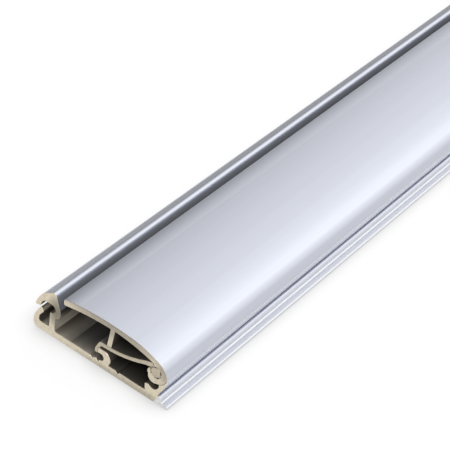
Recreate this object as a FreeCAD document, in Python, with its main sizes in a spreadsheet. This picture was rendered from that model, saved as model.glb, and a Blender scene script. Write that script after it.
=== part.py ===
"""Aluminium hanging rail: three extruded profiles, assembled as one length of stock.

The base profile lies flat. Its left side is the hanging slot, its middle carries a
screw port, and its right side is the seat for the cover and a stepped foot. The
cover profile arches over the chamber. The clip strip snaps into the cover's ball
socket and hooks over the lip of the screw port, with the cover's rib above it.

Frame: X is the width, Y the length, Z up. The origin is at the middle of the
underside. All sizes are in millimetres.
"""
import FreeCAD
import Part
import Sketcher

import os
import re

SIZES = {
    # Whole rail
    "rail_length": 1000.0,
    "fit_clearance": 0.08,
    "root_fillet": 0.5,
    # Base profile, from left to right along the floor
    "curl_wall": 2.0,
    "slot_width": 4.0,
    "rib_thickness": 2.1,
    "chamber_width": 34.65,
    "seat_reach": 9.05,
    "floor_thickness": 2.5,
    "slot_floor": 3.05,
    # Curl on the left of the slot
    "corner_radius": 2.2,
    "curl_upright": 2.7,
    "curl_bend": 5.05,
    "curl_shoulder": 0.45,
    "curl_height": 8.72,
    "curl_lean": 1.45,
    "curl_crown": 1.1,
    "curl_crown_width": 0.4,
    "curl_crown_drop": 0.12,
    "curl_lip_round": 0.35,
    "curl_lip_drop": 0.47,
    "curl_lip_side": 0.97,
    "curl_lip_bottom": 1.47,
    "curl_throat": 0.25,
    "curl_throat_drop": 1.97,
    # Hook over the slot
    "pocket_offset": 0.5,
    "pocket_height": 10.5,
    "pocket_radius": 1.55,
    "pocket_flat": 2.6,
    "hook_reach": 5.68,
    "hook_tip_width": 1.93,
    "hook_tip_height": 8.85,
    "hook_tip_side": 0.65,
    "hook_tip_nose": 0.68,
    "hook_tip_rise": 0.2,
    "hook_tip_radius": 0.35,
    "brow_start": 2.9,
    "brow_height": 14.66,
    "facet_start": 2.0,
    "facet_height": 15.43,
    "ridge_offset": 0.42,
    "ridge_height": 16.84,
    "ridge_width": 1.32,
    "ridge_drop": 0.3,
    "flank_offset": 2.08,
    "flank_height": 15.9,
    "hook_side": 3.75,
    "hook_side_top": 11.55,
    "hook_side_bottom": 8.6,
    "ledge_width": 1.0,
    "ledge_height": 7.65,
    "ledge_rise": 0.3,
    # Drill grooves in the floor
    "drill_groove_width": 1.6,
    "drill_groove_depth": 0.55,
    "left_groove_offset": 2.95,
    "right_groove_offset": 6.75,
    "port_groove_radius": 0.45,
    "port_groove_offset": 0.75,
    "port_bead_radius": 0.4,
    "port_bead_offset": 1.7,
    # Screw port
    "port_offset": 17.95,
    "port_height": 4.0,
    "port_radius": 1.25,
    "port_wall": 2.5,
    "port_root": 3.15,
    "port_roof": 1.9,
    "port_roof_flat": 1.65,
    "port_lip": 1.1,
    "port_lip_chamfer": 0.25,
    "port_ramp": 0.55,
    "port_ramp_depth": 0.25,
    # Cover seat
    "finger_top": 5.4,
    "finger_width": 1.25,
    "finger_lean": 0.25,
    "finger_chamfer": 0.5,
    "swing_radius": 4.2,
    "swing_start": 68.0,
    "swing_end": 16.6,
    "seat_foot": 3.9,
    "seat_bend": 5.45,
    "seat_bend_height": 4.2,
    "seat_tip_round": 0.25,
    # Stepped foot, from its tip
    "foot_toe": 1.35,
    "foot_toe_side": 0.15,
    "foot_toe_rise": 0.32,
    "foot_tip_height": 0.58,
    "foot_tongue_out": 0.4,
    "foot_tongue_out_height": 1.06,
    "foot_tongue_in": 2.0,
    "foot_tongue_in_height": 1.34,
    "foot_bead": 2.5,
    "foot_bead_base": 1.94,
    "foot_bead_height": 3.47,
    "foot_bead_radius": 0.98,
    "foot_groove": 4.1,
    "foot_groove_height": 3.1,
    # Ball joint of the clip strip, from the left face of the seat finger
    "ball_offset": 3.33,
    "ball_height": 11.4,
    "ball_radius": 1.9,
    # Cover profile
    "cover_gap": 2.75,
    "cover_top": 18.8,
    "cover_wall": 1.9,
    "cover_tip_drop": 1.8,
    "cover_tip_wall": 2.05,
    "cover_tip_round": 0.3,
    "cover_tip_width": 0.65,
    "arch_left": 6.25,
    "arch_right": 7.95,
    "arch_drop": 0.6,
    "shoulder_drop": 2.9,
    "shoulder_lean": 0.15,
    "skin_overhang": 0.32,
    "cavity_reach": 1.25,
    "cavity_height": 2.9,
    "nose_reach": 1.85,
    "nose_height": 0.8,
    "nose_tip": 2.9,
    "nose_drop": 1.5,
    "nose_step": 0.27,
    "bead_bottom": 4.32,
    "bead_side": 2.1,
    "cover_rib_offset": 2.65,
    "cover_rib_thickness": 1.6,
    "cover_rib_lean": 0.7,
    "cover_rib_fillet": 0.35,
    # Clip strip
    "strip_wall": 1.5,
    "strip_height": 8.4,
    "strip_rise_reach": 4.05,
    "strip_rise": 0.5,
    "strip_bend_reach": 0.95,
    "strip_bend_round": 0.5,
    "strip_hook_wall": 1.1,
    "strip_hook_bottom": 5.0,
    "strip_hook_height": 6.4,
    "strip_bend_side": 1.0,
    "strip_bend_radius": 1.1,
    "strip_shoulder": 2.1,
    "strip_crown_reach": 2.2,
    "strip_crown": 2.75,
    "strip_neck_reach": 1.5,
    "strip_neck_drop": 0.1,
    "strip_throat_reach": 1.75,
    "strip_throat": 1.05,
    "strip_slope": 24.0,
    # Bulge of each bowed stretch: the tangent of a quarter of its turn
    "curl_lip_bow": 0.3,
    "curl_crown_bow": 0.35,
    "curl_upper_bow": 0.056,
    "curl_lower_bow": 0.095,
    "hook_side_bow": 0.185,
    "flank_bow": 0.061,
    "ridge_bow": 0.389,
    "facet_bow": 0.092,
    "brow_bow": 0.094,
    "hook_tip_bow": 0.623,
    "hook_inner_bow": 0.23,
    "ledge_bow": 0.3,
    "drill_groove_bow": 0.2,
    "port_bow": 0.36,
    "seat_bow": 0.08,
    "trough_bow": 0.78,
    "finger_bow": 0.15,
    "foot_toe_bow": 0.13,
    "foot_edge_bow": 0.268,
    "foot_tip_bow": 0.364,
    "foot_fillet_bow": 0.364,
    "ceiling_left_bow": 0.055,
    "ceiling_right_bow": 0.069,
    "nose_bow": 0.43,
    "bead_bow": 0.49,
    "shoulder_bow": 0.28,
    "arch_left_bow": 0.068,
    "arch_right_bow": 0.07,
    "strip_lower_bow": 0.098,
    "strip_upper_bow": 0.098,
    "strip_neck_bow": 0.2,
    "strip_bend_bow": 0.25,
}

# Places that follow from the sizes.
PLACES = {
    "rail_width": "curl_wall + slot_width + rib_thickness + chamber_width + seat_reach",
    "rail_left": "0 - rail_width / 2",
    "slot_left": "rail_left + curl_wall",
    "rib_left": "slot_left + slot_width",
    "rib_right": "rib_left + rib_thickness",
    "curl_lip": "slot_left + curl_lean",
    "hook_left": "rib_left - hook_reach",
    "hook_tip_right": "hook_left + hook_tip_width",
    "seat_left": "rib_right + chamber_width",
    "foot_right": "seat_left + seat_reach",
    "port_x": "rib_right + port_offset",
    "port_top": "port_height + port_radius + port_roof",
    "lip_left": "port_x - port_lip",
    "ball_x": "seat_left + ball_offset",
    "cover_left": "rib_right + cover_gap",
    "cover_ceiling": "cover_top - cover_wall",
    "cover_rib_left": "port_x + cover_rib_offset - cover_rib_thickness / 2",
    "cover_rib_right": "port_x + cover_rib_offset + cover_rib_thickness / 2",
    "strip_top": "strip_height + strip_wall",
    "swing_inner": "swing_radius - fit_clearance",
}

# Bulge of an arc is the tangent of a quarter of its turn; left turns are positive.
QUARTER = "tan(22.5)"


def formula(text):
    """Return a sheet expression for a text in size and place names."""
    def swap(match):
        name = match.group(0)
        if name in PLACES:
            return "(" + formula(PLACES[name]) + ")"
        if name in SIZES:
            return "Sizes." + name
        return name
    return re.sub(r"[a-z]\w*", swap, text)


def make_sheet(doc):
    """Put every size in the spreadsheet under its own alias."""
    sheet = doc.addObject("Spreadsheet::Sheet", "Sizes")
    for row, (name, value) in enumerate(SIZES.items(), start=1):
        sheet.set(f"A{row}", name)
        sheet.set(f"B{row}", str(value))
        sheet.setAlias(f"B{row}", name)
    doc.recompute()
    return sheet


class Profile:
    """One extruded aluminium profile: a body whose sections lie in the XZ plane."""

    def __init__(self, doc, sheet, label):
        self.sheet = sheet
        self.body = doc.addObject("PartDesign::Body", label)
        self.body.Label = label
        planes = self.body.Origin.OriginFeatures
        self.plane = next(plane for plane in planes if plane.Role == "XZ_Plane")

    def value(self, text):
        """Return the number that a text in size and place names stands for."""
        return float(self.sheet.evalExpression(formula(text)))

    def point(self, x, z):
        """Return a sketch point from two texts."""
        return FreeCAD.Vector(self.value(x), self.value(z), 0)

    def new_sketch(self, name):
        """Return an empty sketch on the body's XZ plane."""
        sketch = self.body.newObject("Sketcher::SketchObject", name)
        sketch.AttachmentSupport = [(self.plane, "")]
        sketch.MapMode = "FlatFace"
        return sketch

    def bind(self, sketch, kind, places, text):
        """Add one dimension to a sketch and tie it to the sheet."""
        index = sketch.addConstraint(Sketcher.Constraint(kind, *places, self.value(text)))
        sketch.setExpression(f"Constraints[{index}]", formula(text))

    def closed_sketch(self, name, outline):
        """Draw a closed outline.

        Each entry of the outline is (x, z) or (x, z, bulge), where the bulge curves
        the stretch from this point to the next one.
        """
        sketch = self.new_sketch(name)
        count = len(outline)
        for index, (x, z, *bulge) in enumerate(outline):
            next_x, next_z = outline[(index + 1) % count][:2]
            start = self.point(x, z)
            end = self.point(next_x, next_z)
            if bulge:
                sketch.addGeometry(self.arc(start, end, self.value(bulge[0])))
            else:
                sketch.addGeometry(Part.LineSegment(start, end))
        for index, (x, z, *bulge) in enumerate(outline):
            following = (index + 1) % count
            turns_right = bool(bulge) and self.value(bulge[0]) < 0
            next_bulge = outline[following][2:]
            next_turns_right = bool(next_bulge) and self.value(next_bulge[0]) < 0
            first = 2 if turns_right else 1
            last = 1 if turns_right else 2
            next_first = 2 if next_turns_right else 1
            sketch.addConstraint(
                Sketcher.Constraint("Coincident", index, last, following, next_first)
            )
            self.bind(sketch, "DistanceX", (index, first), x)
            self.bind(sketch, "DistanceY", (index, first), z)
            if bulge:
                next_x, next_z = outline[following][:2]
                chord = f"hypot(({next_x}) - ({x}); ({next_z}) - ({z}))"
                radius = f"{chord} * (1 + ({bulge[0]})^2) / (4 * abs({bulge[0]}))"
                self.bind(sketch, "Radius", (index,), radius)
        return sketch

    @staticmethod
    def arc(start, end, bulge):
        """Return the arc from start to end; a negative bulge turns to the right."""
        chord = end - start
        across = FreeCAD.Vector(chord.y, -chord.x, 0) * (bulge / 2)
        middle = (start + end) / 2 + across
        return Part.Arc(start, middle, end)

    def circle_sketch(self, name, x, z, radius):
        """Draw one circle from texts for its centre and radius."""
        sketch = self.new_sketch(name)
        normal = FreeCAD.Vector(0, 0, 1)
        sketch.addGeometry(Part.Circle(self.point(x, z), normal, self.value(radius)))
        self.bind(sketch, "DistanceX", (0, 3), x)
        self.bind(sketch, "DistanceY", (0, 3), z)
        self.bind(sketch, "Radius", (0,), radius)
        return sketch

    def pad(self, sketch):
        """Extrude a sketch over the rail's whole length."""
        pad = self.body.newObject("PartDesign::Pad", sketch.Name + "Pad")
        pad.Profile = sketch
        pad.SideType = "Symmetric"
        pad.setExpression("Length", formula("rail_length"))

    def pocket(self, sketch):
        """Cut a sketch through the rail's whole length."""
        pocket = self.body.newObject("PartDesign::Pocket", sketch.Name + "Cut")
        pocket.Profile = sketch
        pocket.SideType = "Symmetric"
        pocket.setExpression("Length", formula("rail_length"))

    def pad_outline(self, name, outline):
        """Add an extruded outline to the profile."""
        self.pad(self.closed_sketch(name, outline))

    def cut_outline(self, name, outline):
        """Cut an outline out of the profile along its whole length."""
        self.pocket(self.closed_sketch(name, outline))


def add_curl(base):
    """The slot's floor and the wall that curls up on its left."""
    base.pad_outline("Curl", [
        ("rail_left + corner_radius", "0"),
        ("rib_left", "0"),
        ("rib_left", "slot_floor"),
        ("slot_left + root_fillet", "slot_floor", "-" + QUARTER),
        ("slot_left", "slot_floor + root_fillet"),
        ("slot_left", "curl_bend"),
        ("curl_lip - curl_throat", "curl_height - curl_throat_drop"),
        ("curl_lip", "curl_height - curl_lip_bottom"),
        ("curl_lip", "curl_height - curl_lip_side", "curl_lip_bow"),
        ("curl_lip - curl_lip_round", "curl_height - curl_lip_drop"),
        ("curl_lip - curl_crown + curl_crown_width", "curl_height", "curl_crown_bow"),
        ("curl_lip - curl_crown", "curl_height - curl_crown_drop", "curl_upper_bow"),
        ("rail_left + curl_shoulder", "curl_bend", "curl_lower_bow"),
        ("rail_left", "curl_upright"),
        ("rail_left", "corner_radius", QUARTER),
    ])


def add_floor(base):
    """The flat floor of the chamber."""
    base.pad_outline("Floor", [
        ("rib_left", "0"),
        ("seat_left + seat_foot", "0"),
        ("seat_left + seat_foot", "floor_thickness"),
        ("rib_left", "floor_thickness"),
    ])


def add_hook(base):
    """The rib beside the slot and the hook that arches over it."""
    base.pad_outline("Hook", [
        ("rib_left - root_fillet", "floor_thickness / 2"),
        ("rib_right + root_fillet", "floor_thickness / 2"),
        ("rib_right + root_fillet", "floor_thickness", "-" + QUARTER),
        ("rib_right", "floor_thickness + root_fillet"),
        ("rib_right", "ledge_height"),
        ("rib_right + ledge_width", "ledge_height + ledge_rise", "ledge_bow"),
        ("rib_left + hook_side", "hook_side_bottom", "hook_side_bow"),
        ("rib_left + hook_side", "hook_side_top"),
        ("rib_left + flank_offset", "flank_height", "flank_bow"),
        ("rib_left + ridge_offset + ridge_width", "ridge_height - ridge_drop", "ridge_bow"),
        ("rib_left + ridge_offset", "ridge_height"),
        ("rib_left - facet_start", "facet_height", "facet_bow"),
        ("rib_left - brow_start", "brow_height", "brow_bow"),
        ("hook_left", "hook_tip_height + hook_tip_side", "hook_tip_bow"),
        ("hook_left + hook_tip_nose", "hook_tip_height"),
        ("hook_tip_right - hook_tip_radius", "hook_tip_height + hook_tip_rise", QUARTER),
        ("hook_tip_right", "hook_tip_height + hook_tip_rise + hook_tip_radius", "0 - hook_inner_bow"),
        ("rib_left + pocket_offset - pocket_flat", "pocket_height + pocket_radius"),
        ("rib_left + pocket_offset", "pocket_height + pocket_radius", "-" + QUARTER),
        ("rib_left + pocket_offset + pocket_radius", "pocket_height", "-" + QUARTER),
        ("rib_left + pocket_offset", "pocket_height - pocket_radius", QUARTER),
        ("rib_left", "pocket_height - pocket_radius - pocket_offset"),
        ("rib_left", "slot_floor + root_fillet", "-" + QUARTER),
        ("rib_left - root_fillet", "slot_floor"),
    ])


def add_port(base):
    """The open screw port and its lip."""
    base.pad_outline("Port", [
        ("port_x + port_root", "floor_thickness / 2"),
        ("port_x + port_root", "floor_thickness"),
        ("port_x + port_radius + port_wall", "port_height", "port_bow"),
        ("port_x + port_roof_flat", "port_top"),
        ("lip_left + port_lip_chamfer", "port_top", QUARTER),
        ("lip_left", "port_top - port_lip_chamfer"),
        ("lip_left", "port_height + port_radius + port_lip_chamfer", QUARTER),
        ("lip_left + port_lip_chamfer", "port_height + port_radius"),
        ("port_x", "port_height + port_radius", "-" + QUARTER),
        ("port_x + port_radius", "port_height", "-" + QUARTER),
        ("port_x", "port_height - port_radius"),
        ("port_x - port_ramp", "floor_thickness - port_ramp_depth"),
        ("port_x - port_ramp", "floor_thickness / 2"),
    ])
    bead_x = "port_x - port_bead_offset"
    bead_z = "floor_thickness - port_bead_radius / 2"
    base.pad(base.circle_sketch("PortBead", bead_x, bead_z, "port_bead_radius"))
    groove_x = "port_x - port_groove_offset"
    base.pocket(base.circle_sketch("PortGroove", groove_x, "floor_thickness", "port_groove_radius"))


def cut_drill_groove(base, name, centre):
    """One shallow V along the floor that guides a drill."""
    bottom = "floor_thickness - drill_groove_depth"
    base.cut_outline(name, [
        (f"{centre} - drill_groove_width / 2", "floor_thickness"),
        (f"{centre} - drill_groove_width / 8", bottom, "drill_groove_bow"),
        (f"{centre} + drill_groove_width / 8", bottom),
        (f"{centre} + drill_groove_width / 2", "floor_thickness"),
        (f"{centre} + drill_groove_width / 2", "floor_thickness + drill_groove_depth"),
        (f"{centre} - drill_groove_width / 2", "floor_thickness + drill_groove_depth"),
    ])


def add_seat(base):
    """The finger, the trough and the outer wall that carry the cover."""
    swing_start_x = "ball_x + swing_radius * cos(swing_start)"
    swing_start_z = "ball_height - swing_radius * sin(swing_start)"
    swing_end_x = "ball_x + swing_radius * cos(swing_end)"
    swing_end_z = "ball_height - swing_radius * sin(swing_end)"
    base.pad_outline("Seat", [
        ("seat_left + finger_lean", "0"),
        ("seat_left + seat_foot", "0"),
        ("seat_left + seat_bend", "seat_bend_height", "seat_bow"),
        (f"{swing_end_x} + seat_tip_round", f"{swing_end_z} - seat_tip_round", QUARTER),
        (swing_end_x, swing_end_z, "-tan((swing_start - swing_end) / 4)"),
        (swing_start_x, swing_start_z, "0 - trough_bow"),
        ("seat_left + finger_width", "finger_top", "finger_bow"),
        ("seat_left + finger_chamfer", "finger_top", "finger_bow"),
        ("seat_left", "finger_top - finger_chamfer"),
        ("seat_left + finger_lean", "floor_thickness + root_fillet"),
    ])


def add_foot(base):
    """The stepped foot outside the seat."""
    base.pad_outline("Foot", [
        ("seat_left + seat_foot", "0"),
        ("foot_right - foot_toe", "0", "foot_toe_bow"),
        ("foot_right - foot_toe_side", "foot_toe_rise", "foot_edge_bow"),
        ("foot_right", "foot_tip_height", "foot_tip_bow"),
        ("foot_right - foot_tongue_out", "foot_tongue_out_height"),
        ("foot_right - foot_tongue_in", "foot_tongue_in_height", "0 - foot_fillet_bow"),
        ("foot_right - foot_bead", "foot_bead_base"),
        ("foot_right - foot_bead", "foot_bead_height - foot_bead_radius", QUARTER),
        ("foot_right - foot_bead - foot_bead_radius", "foot_bead_height"),
        ("foot_right - foot_groove", "foot_groove_height"),
        ("seat_left + seat_foot", "foot_groove_height"),
    ])


def build_base(doc, sheet):
    """The base profile, with slot, hook, screw port, cover seat and foot."""
    base = Profile(doc, sheet, "base_profile")
    add_floor(base)
    add_curl(base)
    add_hook(base)
    cut_drill_groove(base, "LeftDrillGroove", "port_x - left_groove_offset")
    cut_drill_groove(base, "RightDrillGroove", "port_x + right_groove_offset")
    add_port(base)
    add_seat(base)
    add_foot(base)
    return base


def build_cover(doc, sheet):
    """The cover profile: arch, middle rib, ball socket and bead."""
    cover = Profile(doc, sheet, "cover_profile")
    rib_top_left = "cover_rib_left + cover_rib_lean - cover_rib_fillet"
    rib_top_right = "cover_rib_right + cover_rib_lean + cover_rib_fillet"
    foot_start_x = "ball_x + swing_inner * cos(swing_start)"
    foot_start_z = "ball_height - swing_inner * sin(swing_start)"
    foot_end_x = "ball_x + swing_inner * cos(swing_end)"
    foot_end_z = "ball_height - swing_inner * sin(swing_end)"
    tip_bottom = "cover_top - cover_tip_drop - cover_tip_wall"
    arch_bow = "2 * arch_drop / (ball_x - arch_right - cover_left - arch_left)"
    cover.pad_outline("Cover", [
        ("cover_left + cover_tip_width", tip_bottom, "0 - ceiling_left_bow"),
        (rib_top_left, "cover_ceiling", "-" + QUARTER),
        (f"{rib_top_left} + cover_rib_fillet", "cover_ceiling - cover_rib_fillet"),
        ("cover_rib_left", "strip_top + fit_clearance"),
        ("cover_rib_right", "strip_top + fit_clearance"),
        (f"{rib_top_right} - cover_rib_fillet", "cover_ceiling - cover_rib_fillet", "-" + QUARTER),
        (rib_top_right, "cover_ceiling", "0 - ceiling_right_bow"),
        ("ball_x - cavity_reach", "ball_height + cavity_height"),
        ("ball_x", "ball_height"),
        ("ball_x - nose_reach", "ball_height + nose_height", "nose_bow"),
        ("ball_x - nose_tip", "ball_height - nose_drop"),
        ("ball_x - nose_tip + nose_step", "ball_height - nose_drop - nose_step"),
        ("ball_x - nose_tip + nose_step", "ball_height - bead_side", "bead_bow"),
        ("ball_x", "ball_height - bead_bottom"),
        (foot_start_x, foot_start_z, "tan((swing_start - swing_end) / 4)"),
        (foot_end_x, foot_end_z),
        (f"{foot_end_x} + skin_overhang", f"{foot_end_z} + skin_overhang", "shoulder_bow"),
        ("ball_x + shoulder_lean", "cover_top - shoulder_drop", "arch_right_bow"),
        ("ball_x - arch_right", "cover_top - arch_drop", arch_bow),
        ("cover_left + arch_left", "cover_top - arch_drop", "arch_left_bow"),
        ("cover_left + cover_tip_round", "cover_top - cover_tip_drop", QUARTER),
        ("cover_left", "cover_top - cover_tip_drop - cover_tip_round"),
        ("cover_left", f"{tip_bottom} + cover_tip_width", QUARTER),
    ])
    socket_radius = "ball_radius + fit_clearance"
    cover.pocket(cover.circle_sketch("Socket", "ball_x", "ball_height", socket_radius))
    return cover


def build_strip(doc, sheet):
    """The clip strip: ball, spring web and the hook over the screw port's lip."""
    strip = Profile(doc, sheet, "clip_strip")
    hook_right = "lip_left - fit_clearance"
    hook_left = f"{hook_right} - strip_hook_wall"
    seat = "port_top + fit_clearance"
    crown = "ball_height + strip_crown"
    rise = "ball_height + strip_rise"
    strip.pad_outline("Strip", [
        (hook_left, "strip_hook_bottom"),
        (hook_right, "strip_hook_bottom"),
        (hook_right, seat),
        (f"{hook_right} + strip_bend_round", seat),
        (f"{hook_right} + strip_bend_reach", "strip_height"),
        (f"{hook_right} + strip_shoulder", "strip_height", "strip_lower_bow"),
        ("ball_x - strip_rise_reach", rise),
        ("ball_x - strip_throat_reach", "ball_height + strip_throat"),
        ("ball_x", "ball_height"),
        ("ball_x - strip_neck_reach", f"{crown} - strip_neck_drop", "strip_neck_bow"),
        ("ball_x - strip_crown_reach", crown),
        ("ball_x - strip_rise_reach", f"{rise} + strip_wall / cos(strip_slope)", "0 - strip_upper_bow"),
        ("cover_rib_right", "strip_top"),
        (f"{hook_left} + strip_bend_side + strip_bend_radius", "strip_top", "strip_bend_bow"),
        (f"{hook_left} + strip_bend_side", "strip_top - strip_bend_radius"),
        (hook_left, "strip_hook_height"),
    ])
    strip.pad(strip.circle_sketch("Ball", "ball_x", "ball_height", "ball_radius"))
    return strip


def check(doc, profiles):
    """Stop if any feature failed or any profile is not one valid solid."""
    for item in doc.Objects:
        if "Invalid" in item.State or "Error" in item.State:
            raise RuntimeError(f"{item.Label} failed: {item.State}")
    for profile in profiles:
        shape = profile.body.Shape
        if shape.isNull() or not shape.isValid() or len(shape.Solids) != 1:
            raise RuntimeError(f"{profile.body.Label} is not one valid solid")


def main():
    """Build the three profiles and write one STEP file for each."""
    doc = FreeCAD.newDocument("hanging_rail")
    sheet = make_sheet(doc)
    profiles = [build_base(doc, sheet), build_cover(doc, sheet), build_strip(doc, sheet)]
    doc.recompute()
    check(doc, profiles)
    os.makedirs("parts", exist_ok=True)
    for profile in profiles:
        shape = profile.body.Shape
        shape.exportStep(f"parts/{profile.body.Label}.step")
        box = shape.BoundBox
        print(f"{profile.body.Label}: {shape.Volume:.0f} mm3, "
              f"x {box.XMin:.2f}..{box.XMax:.2f}, z {box.ZMin:.2f}..{box.ZMax:.2f}")


main()
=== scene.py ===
"""Dressed scene of an aluminium hanging rail: three extruded profiles on a pale floor.

Each profile is drawn as a section in millimetres, in the XZ plane, and extruded along
Y between two saw cuts. The drawn surfaces are satin anodised metal with die lines
along the length, its foot made paler with painted light, and dull mill metal inside
the hollows with painted light and shade. The cut ends are raw, warm-toned metal with
saw marks and patches of painted shade.
"""

import logging
import math
from dataclasses import astuple, dataclass
from enum import Enum
from typing import Iterator, Sequence

import bpy
from mathutils import Euler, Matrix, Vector, geometry

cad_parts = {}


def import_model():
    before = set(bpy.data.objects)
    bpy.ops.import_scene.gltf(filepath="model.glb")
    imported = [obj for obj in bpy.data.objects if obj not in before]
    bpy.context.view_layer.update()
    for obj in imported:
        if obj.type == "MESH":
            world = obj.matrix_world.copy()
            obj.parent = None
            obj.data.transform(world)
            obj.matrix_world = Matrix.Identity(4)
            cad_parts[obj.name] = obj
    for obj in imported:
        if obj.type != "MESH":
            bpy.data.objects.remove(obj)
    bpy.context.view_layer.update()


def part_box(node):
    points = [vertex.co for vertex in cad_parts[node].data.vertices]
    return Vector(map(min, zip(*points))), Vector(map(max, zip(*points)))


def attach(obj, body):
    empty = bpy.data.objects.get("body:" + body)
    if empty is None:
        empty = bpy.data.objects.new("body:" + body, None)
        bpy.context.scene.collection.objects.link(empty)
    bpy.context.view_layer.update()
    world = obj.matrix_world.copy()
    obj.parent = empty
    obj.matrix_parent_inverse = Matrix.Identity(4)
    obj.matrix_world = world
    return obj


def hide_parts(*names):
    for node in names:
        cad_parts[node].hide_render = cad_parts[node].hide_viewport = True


LOG = logging.getLogger("rail")
MM = 0.001

# Bulge of a quarter circle: the tangent of a quarter of its turn.
QUARTER = math.tan(math.radians(22.5))

# Most of a noise texture's values lie between these two.
TONE_SPAN = (0.3, 0.7)
GRAIN_SPAN = (0.25, 0.75)

Socket = bpy.types.NodeSocket
Colour = tuple[float, float, float]
Value = Socket | float | Colour
Sockets = bpy.types.bpy_prop_collection


class Side(Enum):
    """How an outline changes the section drawn so far."""

    ADD = "add"
    CUT = "cut"


class Surface(Enum):
    """The kinds of surface on an extruded and sawn profile."""

    DRAWN = 0
    INNER = 1
    SAWN = 2


@dataclass(frozen=True)
class Bend:
    """The circle that a curved stretch of an outline lies on."""

    centre: Vector

    def normal(self, point: Vector) -> Vector:
        """Return the unit vector from the circle's centre to the point."""
        return (point - self.centre).normalized()


@dataclass(frozen=True)
class Stretch:
    """One straight piece of a finished loop, with the true normals at its two ends."""

    start: Vector
    end: Vector
    start_normal: Vector
    end_normal: Vector


@dataclass(frozen=True)
class Hollow:
    """A region between the profiles whose walls take the dull mill finish with its painted shade, in mm."""

    corners: tuple[tuple[float, float], ...]

    def holds(self, point: Vector) -> bool:
        """Return whether a point lies in the region.

        Args:
            point: The point, as x and z in mm.
        """
        inside = False
        for (x, z), (next_x, next_z) in zip(self.corners, self.corners[1:] + self.corners[:1]):
            if (z > point.y) != (next_z > point.y):
                inside ^= point.x < x + (point.y - z) * (next_x - x) / (next_z - z)
        return inside


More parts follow.
